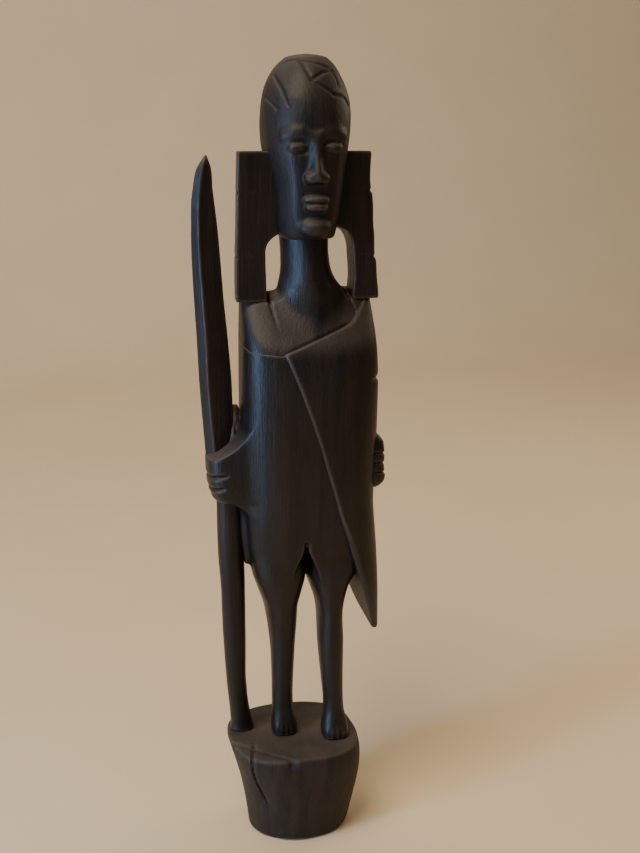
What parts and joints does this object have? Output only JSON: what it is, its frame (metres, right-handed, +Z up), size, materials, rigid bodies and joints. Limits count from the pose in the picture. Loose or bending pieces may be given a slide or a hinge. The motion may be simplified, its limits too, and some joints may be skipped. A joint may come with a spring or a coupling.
{
  "type": "carved ancestor figure",
  "caption": "Standing robed figure with long ear slabs and an upright spear, carved from dark hardwood on a round block base; shelf ornament.",
  "frame": {"origin": "centre of the flat underside of the base", "axes": "+Z up the figure; it faces -Y; its right hand, with the spear, is on the -X side"},
  "size_m": [0.0711, 0.0508, 0.3013],
  "materials": {
    "dark_wood": "very dark stained hardwood, hand-carved and rubbed to a satin sheen",
    "base_wood": "the same hardwood, left duller and coarser on the base",
    "rough_wood": "uncut wood with chisel chips, unpolished"
  },
  "bodies": {
    "root": {"base_block": "base_wood", "right_foot": "dark_wood", "left_foot": "dark_wood", "right_leg": "dark_wood", "left_leg": "dark_wood", "robe": "dark_wood", "robe_wrap": "dark_wood", "neck_and_chest": "dark_wood", "head": "dark_wood", "right_ear_slab": "dark_wood", "left_ear_slab": "dark_wood", "right_fist": "dark_wood", "left_fist": "dark_wood", "spear_shaft": "dark_wood", "spear_blade": "dark_wood", "blade_bridge": "rough_wood"}
  },
  "joints": []
}
